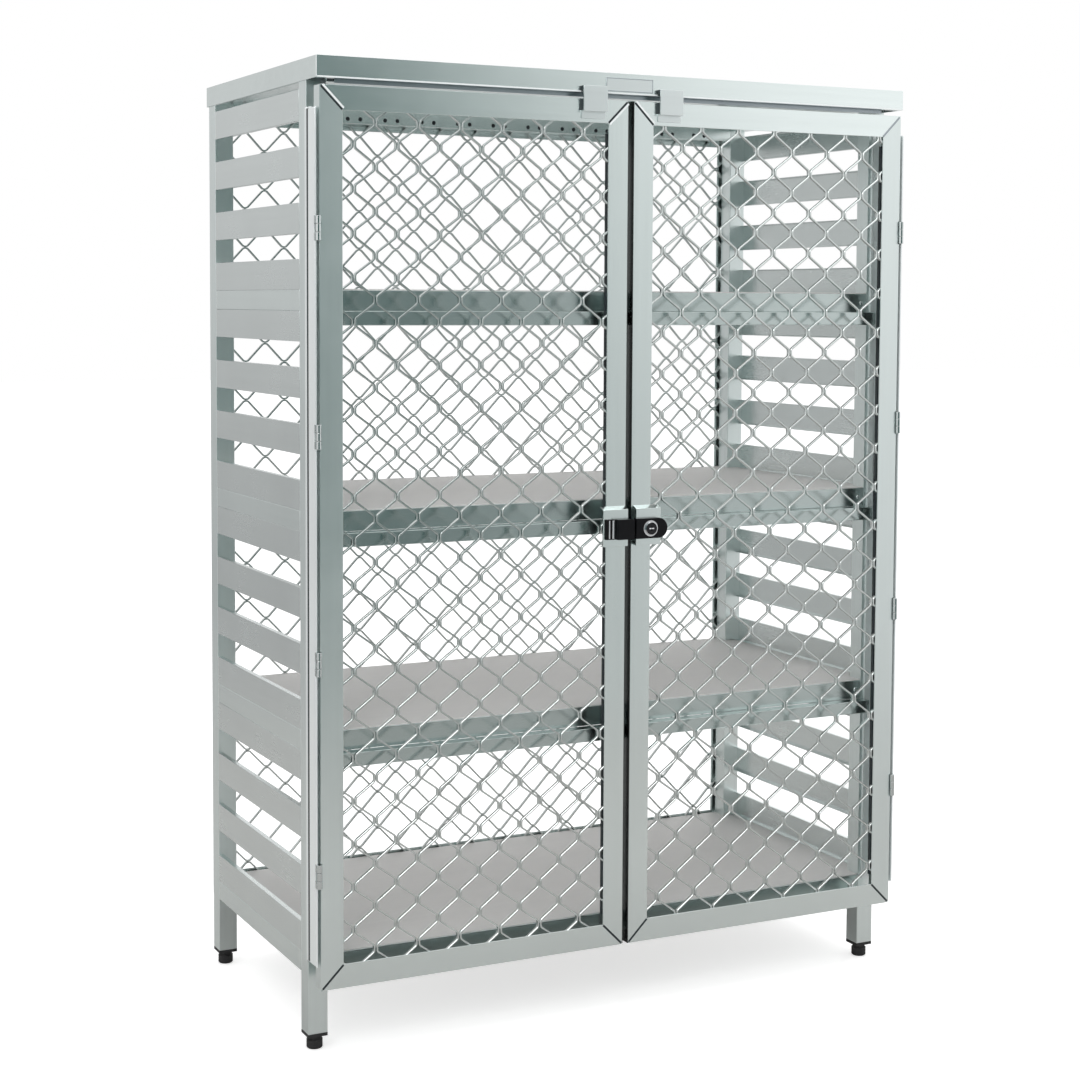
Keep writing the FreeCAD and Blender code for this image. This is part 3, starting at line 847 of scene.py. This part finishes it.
class CAGE_OT_hinges(bpy.types.Operator):
    """Dress the hinges' knuckles and pins"""
    bl_idname = "cage.hinges"
    bl_label = "Hinges"

    def execute(self, context):
        for node in body_of_node:
            if node.startswith("hinges") or node.endswith("knuckles"):
                dress(node, context.scene.cage.trim.edge)
        return {"FINISHED"}


class CAGE_OT_latch(bpy.types.Operator):
    """Dress the latch and its key cylinder"""
    bl_idname = "cage.latch"
    bl_label = "Latch"

    def execute(self, context):
        for node in body_of_node:
            if "latch" in node or "key_cylinder" in node:
                dress(node, context.scene.cage.trim.edge * 2)
        return {"FINISHED"}


class CAGE_OT_mesh(bpy.types.Operator):
    """Lay the strand mesh of both doors and the rear"""
    bl_idname = "cage.mesh"
    bl_label = "Mesh"

    def execute(self, context):
        sizes = context.scene.cage.mesh
        tree = strand_tree()
        weave("left_door_mesh", sizes.left_contact, tree, sizes)
        weave("right_door_mesh", sizes.right_contact, tree, sizes)
        weave("rear_mesh_lower", sizes.lower_contact, tree, sizes, turned=True)
        weave("rear_mesh_upper", sizes.upper_contact, tree, sizes, turned=True)
        return {"FINISHED"}


class CAGE_OT_rivets(bpy.types.Operator):
    """Set the front rails' rivets, and dark heads of painted shadow where the rear mesh meets
    the top rail
    """
    bl_idname = "cage.rivets"
    bl_label = "Rivets"

    def execute(self, context):
        trim = context.scene.cage.trim
        mesh = context.scene.cage.mesh
        tree = rivet_tree()
        low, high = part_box("post_front_left")
        tube = high.x - low.x
        low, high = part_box("front_rails")
        tops = sorted({round(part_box("shelf_" + name)[0].z, 5)
                       for name in ("bottom", "lower", "middle", "upper")})
        places = [(x, low.y, top - tube / 2)
                  for top in tops for x in (low.x + tube / 3, high.x - tube / 3)]
        rivet_row("front_rail_rivets", places, tree, trim, "hinge")
        # Painted shadow: two dark heads by each contact of the rear mesh, on the top rail
        low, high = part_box("top_rails")
        face = high.y - tube
        before_contact = 0.027
        half_pair = mesh.pitch / 6
        places = []
        middle = mesh.upper_contact[0] - before_contact
        while middle < high.x - 2 * tube:
            for x in (middle - half_pair, middle + half_pair):
                places.append((x, face, low.z + trim.shadow_mark_rise))
            middle += mesh.pitch
        rivet_row("rear_mesh_shadow_marks", places, tree, trim, "joint_and_shade")
        return {"FINISHED"}


class CAGE_OT_name_plate(bpy.types.Operator):
    """Fix the bare name plate on the cap"""
    bl_idname = "cage.name_plate"
    bl_label = "Name plate"

    def execute(self, context):
        size = context.scene.cage.trim.plate_size
        cap_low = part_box("top_cap")[0]
        rise = 0.0045
        left_of_middle = 0.004
        rim = 0.0015
        proud = 0.0005
        bottom = cap_low.z + rise
        low = (-size[0] / 2 - left_of_middle, cap_low.y - size[1], bottom)
        high = (size[0] / 2 - left_of_middle, cap_low.y, bottom + size[2])
        forms = []
        for x0, x1, z0, z1 in ((low[0], high[0], low[2], low[2] + rim),
                               (low[0], high[0], high[2] - rim, high[2]),
                               (low[0], low[0] + rim, low[2], high[2]),
                               (high[0] - rim, high[0], low[2], high[2])):
            forms.append(block((x0, low[1] - proud, z0), (x1, low[1], z1), radius=0.0002,
                               segments=1))
        add_trim("name_plate", [block(low, high, radius=0.0004)], "plate", "cabinet")
        add_trim("name_plate_rim", forms, "rim", "cabinet")
        return {"FINISHED"}


class CAGE_OT_shade_strips(bpy.types.Operator):
    """Add strips of painted shade along the jambs, and the strip in the gap under the cap"""
    bl_idname = "cage.seals"
    bl_label = "Seals"

    def execute(self, context):
        trim = context.scene.cage.trim
        end_gap = 0.005
        forms = []
        # Painted shade in the recess behind each jamb's front flange
        for side in (-1, 1):
            low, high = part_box("jamb_left" if side < 0 else "jamb_right")
            web = (low.x if side < 0 else high.x) - side * trim.sheet
            faces = sorted((web, web + side * trim.shade_strip_sheet))
            back = low.y + trim.flange
            forms.append(block((faces[0], back, low.z + end_gap),
                               (faces[1], back + trim.shade_strip_width, high.z - end_gap)))
        add_trim("jamb_shade_strips", forms, "joint_and_shade", "cabinet", "latch_black")
        low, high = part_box("top_cap")
        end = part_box("post_front_right")[0].x
        door_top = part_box("left_door_rails")[1].z
        above_door = 0.005
        below_top = 0.002
        depth = 0.018
        sheet = 0.0015
        # A strip behind the gap under the cap, in the darker rim colour: partly painted shade,
        # for the cap's shade over the gap.
        strip = block((-end, low.y + depth, door_top + above_door),
                      (end, low.y + depth + sheet, high.z - below_top), radius=0.0003)
        add_trim("cap_stop_strip", [strip], "rim", "cabinet")
        return {"FINISHED"}


class CAGE_OT_cap_highlights(bpy.types.Operator):
    """Add painted highlights: bright strips along the cap's lower edge and up its front corners
    """
    bl_idname = "cage.cap_lips"
    bl_label = "Cap lips"

    def execute(self, context):
        width = context.scene.cage.trim.cap_highlight
        low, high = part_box("top_cap")
        proud = 0.0004
        inset = 0.001
        # Painted highlights along the cap's lower edge and its front corners
        forms = [block((low.x + inset, low.y - proud, low.z),
                       (high.x - inset, low.y + proud, low.z + width), radius=0.0002)]
        for x in (low.x, high.x):
            forms.append(block((x - proud, low.y, low.z),
                               (x + proud, low.y + width, high.z), radius=0.0002))
        add_trim("cap_lips", forms, "lip", "cabinet")
        return {"FINISHED"}


class CAGE_OT_door_shade_strips(bpy.types.Operator):
    """Add dark blocks of painted shade behind the stop plates, and dark strips of painted
    shade beside the doors' meshes
    """
    bl_idname = "cage.door_seals"
    bl_label = "Door seals"

    def execute(self, context):
        trim = context.scene.cage.trim
        for door in ("left_door", "right_door"):
            add_trim(door + "_stop_shade", self.shade_blocks(door, trim), "joint_and_shade", door, "latch_black")
            add_trim(door + "_mesh_channel_shade", self.splines(door, trim), "joint_and_shade", door,
                     "latch_black")
        return {"FINISHED"}

    @staticmethod
    def shade_blocks(door, trim):
        """Two dark blocks of painted shade behind a stop plate, where its open side is in
        shade: one before the cap, one before the door's rail.
        """
        cap_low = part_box("top_cap")[0]
        rail_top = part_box(door + "_rails")[1].z
        low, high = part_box(door + "_stop_plate")
        back = low.y + trim.plate_sheet
        to_cap = 0.0008
        below_top = 0.0005
        on_rail = 0.022
        end_gap = 0.001
        # Painted shade behind the stop plate
        return [block((low.x, back, cap_low.z),
                      (low.x + trim.pad, cap_low.y - to_cap, high.z - below_top)),
                block((low.x, back, rail_top - on_rail),
                      (low.x + trim.pad, high.y, rail_top - end_gap))]

    @staticmethod
    def splines(door, trim):
        """Two dark strips along the mesh, on the inner sides of the stiles: painted shade of the
        open channels that hold the mesh.
        """
        behind_front = 0.006
        end_gap = 0.062
        near, far = 0.0004, 0.003
        forms = []
        for stile in ("_hinge_stile", "_lock_stile"):
            low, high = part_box(door + stile)
            right_of_mesh = (door == "left_door") == (stile == "_lock_stile")
            inner, turn = (low.x, 1) if right_of_mesh else (high.x, -1)
            faces = sorted((inner + turn * near, inner + turn * far))
            front = low.y + behind_front
            forms.append(block((faces[0], front, low.z + end_gap),
                               (faces[1], front + trim.channel_shade, high.z - end_gap)))
        return forms


class CAGE_OT_corner_joints(bpy.types.Operator):
    """Mark the mitred corners of the doors with a dark joint, partly painted shade where the
    stile sits back, and a painted highlight along the rail's edge
    """
    bl_idname = "cage.corner_joints"
    bl_label = "Corner joints"

    def execute(self, context):
        trim = context.scene.cage.trim
        inset = 0.003
        inner_gap = 0.001
        for door in ("left_door", "right_door"):
            low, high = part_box(door + "_rails")
            width = stile_width(door)
            joints, highlights, plain = [], [], []
            for x, turn in ((low.x, 1), (high.x, -1)):
                for z, rise in ((low.z, 1), (high.z, -1)):
                    start = (x + turn * inset, z + rise * inset)
                    end = (x + turn * (width - inner_gap), z + rise * (width - inner_gap))
                    outer = door == "right_door" and turn < 0 and rise < 0
                    # A dark joint line, partly painted shade where the stile sits back
                    (plain if outer else joints).append(slanted_strip(
                        start, end, -trim.joint / 2, trim.joint, low.y, height=0.0002))
                    # A painted highlight on the rail's edge beside the joint
                    if rise < 0 and not outer:
                        highlights.append(slanted_strip(
                            start, end, trim.joint / 2, trim.lip, low.y, height=0.0005))
            add_trim(door + "_joints", joints, "joint_and_shade", door, "latch_black")
            add_trim(door + "_lips", highlights, "lip", door)
            if plain:
                add_trim(door + "_plain_joint", plain, "rim", door)
        return {"FINISHED"}


class CAGE_OT_latch_trim(bpy.types.Operator):
    """Add the bright strips of the latch keeper and the key cylinder's collar"""
    bl_idname = "cage.latch_trim"
    bl_label = "Latch trim"

    def execute(self, context):
        low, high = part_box("left_door_latch_keeper")
        base = 0.004
        proud = 0.0015
        sunk = 0.0002
        end_gap = 0.002
        front = high.y - base
        forms = []
        for left, right in ((0.0055, 0.0085), (0.0130, 0.0200)):
            forms.append(block((low.x + left, front - proud, low.z + end_gap),
                               (low.x + right, front + sunk, high.z - end_gap),
                               radius=0.0004))
        add_trim("latch_strips", forms, "key", "left_door", "key_chrome")
        low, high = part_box("right_door_key_cylinder")
        middle = (low + high) / 2
        inner = 0.0122
        collar = ring_form((middle.x, middle.z), inner, context.scene.cage.trim.collar,
                           high.y, height=0.0012)
        add_trim("key_collar", [collar], "key", "right_door", "key_chrome")
        return {"FINISHED"}


# Stage

def camera_axes(stage):
    """Right, up and forward of the view from its heading, tilt and roll."""
    level = Vector((math.sin(stage.heading), math.cos(stage.heading), 0.0))
    side = Vector((math.cos(stage.heading), -math.sin(stage.heading), 0.0))
    forward = level * math.cos(stage.tilt) + Vector((0, 0, math.sin(stage.tilt)))
    up = Vector((0, 0, math.cos(stage.tilt))) - level * math.sin(stage.tilt)
    right = side * math.cos(stage.roll) + up * math.sin(stage.roll)
    up = up * math.cos(stage.roll) - side * math.sin(stage.roll)
    return right, up, forward


def add_camera(stage):
    """The camera at the photograph's viewing angle."""
    data = bpy.data.cameras.new("view")
    data.lens = stage.lens
    data.sensor_width = 36.0
    data.shift_y = stage.shift
    data.clip_end = 200.0
    camera = bpy.data.objects.new("view", data)
    bpy.context.scene.collection.objects.link(camera)
    right, up, forward = camera_axes(stage)
    turn = Matrix((right, up, -forward)).transposed().to_4x4()
    camera.matrix_world = Matrix.Translation(Vector(stage.camera_place)) @ turn
    bpy.context.scene.camera = camera


def add_lamp(name, place, target, side, power):
    """A soft square lamp that faces a point."""
    data = bpy.data.lights.new(name, "AREA")
    data.shape = "SQUARE"
    data.size = side
    data.energy = power
    lamp = bpy.data.objects.new(name, data)
    lamp.location = place
    aim = Vector(target) - Vector(place)
    lamp.rotation_euler = aim.to_track_quat("-Z", "Y").to_euler()
    bpy.context.scene.collection.objects.link(lamp)


def add_floor(side):
    """A pale floor that is white to the camera and keeps the shadow."""
    form = bmesh.new()
    bmesh.ops.create_grid(form, x_segments=1, y_segments=1, size=side / 2)
    mesh = bpy.data.meshes.new("floor")
    form.to_mesh(mesh)
    form.free()
    material, graph, place = new_material("floor")
    path = graph.node("ShaderNodeLightPath")
    mirrored = path.out("Is Glossy Ray")
    shade = graph.mix(mirrored, (0.9, 0.9, 0.9, 1.0), (0.49, 0.48, 0.47, 1.0))
    matte = graph.node("ShaderNodeBsdfDiffuse", {}, {"Color": shade})
    seen = path.out("Is Camera Ray")
    glow = graph.node("ShaderNodeEmission", {}, {"Color": (1.0, 1.0, 1.0, 1.0),
                                                 "Strength": seen * 0.5})
    both = graph.node("ShaderNodeAddShader", {}, [matte, glow])
    distance = graph.node("ShaderNodeVectorMath", {"operation": "LENGTH"}, [place], output=1)
    far = graph.node("ShaderNodeMapRange", {}, {
        "Value": distance, "From Min": 2.5, "From Max": 4.5, "To Min": 0.0, "To Max": 1.0})
    clear = graph.node("ShaderNodeBsdfTransparent")
    surface = graph.node("ShaderNodeMixShader", {}, [mirrored * far, both, clear])
    graph.node("ShaderNodeOutputMaterial", {}, {"Surface": surface})
    mesh.materials.append(material)
    floor = bpy.data.objects.new("floor", mesh)
    floor.location.z = -0.0005
    bpy.context.scene.collection.objects.link(floor)


def near_direction(graph, direction, heading, inner, outer):
    """1 within an inner angle of a level heading, from -Y to +X, and 0 past an outer one. All
    are in degrees."""
    turn = math.radians(heading)
    aim = (math.sin(turn), -math.cos(turn), 0.0)
    facing = graph.node("ShaderNodeVectorMath", {"operation": "DOT_PRODUCT"},
                        {0: direction, 1: aim}, output=1)
    return graph.node("ShaderNodeMapRange", {"interpolation_type": "SMOOTHSTEP"}, {
        "Value": facing, "From Min": math.cos(math.radians(outer)),
        "From Max": math.cos(math.radians(inner)), "To Min": 0.0, "To Max": 1.0})


def set_world():
    """A white surround. Satin metal reflects a studio: dark in front, greyer behind the cage
    and low down."""
    world = bpy.data.worlds.new("studio")
    world.use_nodes = True
    world.node_tree.nodes.clear()
    graph = Graph(world.node_tree)
    direction = graph.node("ShaderNodeTexCoord").out("Generated")
    rise = graph.node("ShaderNodeSeparateXYZ", {}, [direction], output=2)
    level = graph.node("ShaderNodeMapRange", {"interpolation_type": "SMOOTHSTEP"}, {
        "Value": rise, "From Min": -0.14, "From Max": 0.10, "To Min": 0.70, "To Max": 1.08})
    back = near_direction(graph, direction, heading=198.7, inner=20, outer=50)
    front = near_direction(graph, direction, heading=-5, inner=25.5, outer=38)
    studio = graph.mix(front, level * (1.0 - back * 0.42), (0.04, 0.10, 0.095, 1.0))
    path = graph.node("ShaderNodeLightPath")
    colour = graph.mix(path.out("Is Glossy Ray"), (1.0, 1.0, 1.0, 1.0), studio)
    light = graph.node("ShaderNodeBackground", {}, {
        "Color": colour, "Strength": 1.0 - path.out("Is Diffuse Ray") * 0.22})
    graph.node("ShaderNodeOutputWorld", {}, {"Surface": light})
    bpy.context.scene.world = world


class CAGE_OT_stage(bpy.types.Operator):
    """Set the camera, lamps, floor and white surround"""
    bl_idname = "cage.stage"
    bl_label = "Stage"

    def execute(self, context):
        stage = context.scene.cage.stage
        context.scene.view_settings.view_transform = "Standard"
        add_camera(stage)
        add_floor(stage.floor_side)
        set_world()
        middle = (0.0, 0.0, 0.9)
        add_lamp("key", (-3.0, -3.5, 4.2), middle, side=2.4, power=60.0)
        add_lamp("overhead", (0.5, -0.5, 5.5), middle, side=4.0, power=90.0)
        return {"FINISHED"}


class CAGE_PT_panel(bpy.types.Panel):
    """The cage's pieces, in the sidebar"""
    bl_idname = "CAGE_PT_panel"
    bl_label = "Security cage"
    bl_space_type = "VIEW_3D"
    bl_region_type = "UI"
    bl_category = "Cage"

    def draw(self, context):
        for operator in operators:
            self.layout.operator(operator.bl_idname)
        settings = context.scene.cage
        for group in (settings.finish, settings.mesh, settings.trim, settings.stage):
            box = self.layout.box()
            for name in group.__annotations__:
                box.prop(group, name)


property_groups = (CageFinish, MeshSizes, TrimSizes, StageSizes, CageSettings)
operators = (CAGE_OT_finishes, CAGE_OT_framework, CAGE_OT_feet, CAGE_OT_doors, CAGE_OT_hinges,
             CAGE_OT_latch, CAGE_OT_mesh, CAGE_OT_rivets, CAGE_OT_name_plate, CAGE_OT_shade_strips,
             CAGE_OT_cap_highlights, CAGE_OT_door_shade_strips, CAGE_OT_corner_joints, CAGE_OT_latch_trim,
             CAGE_OT_stage)


def register():
    for item in property_groups + operators + (CAGE_PT_panel,):
        bpy.utils.register_class(item)
    bpy.types.Scene.cage = PointerProperty(type=CageSettings)


def unregister():
    del bpy.types.Scene.cage
    for item in reversed(property_groups + operators + (CAGE_PT_panel,)):
        bpy.utils.unregister_class(item)


def main():
    register()
    bpy.ops.cage.finishes()
    bpy.ops.cage.framework()
    bpy.ops.cage.feet()
    bpy.ops.cage.doors()
    bpy.ops.cage.hinges()
    bpy.ops.cage.latch()
    bpy.ops.cage.mesh()
    bpy.ops.cage.rivets()
    bpy.ops.cage.name_plate()
    bpy.ops.cage.seals()
    bpy.ops.cage.cap_lips()
    bpy.ops.cage.door_seals()
    bpy.ops.cage.corner_joints()
    bpy.ops.cage.latch_trim()
    bpy.ops.cage.stage()


if __name__ == "__main__":
    main()
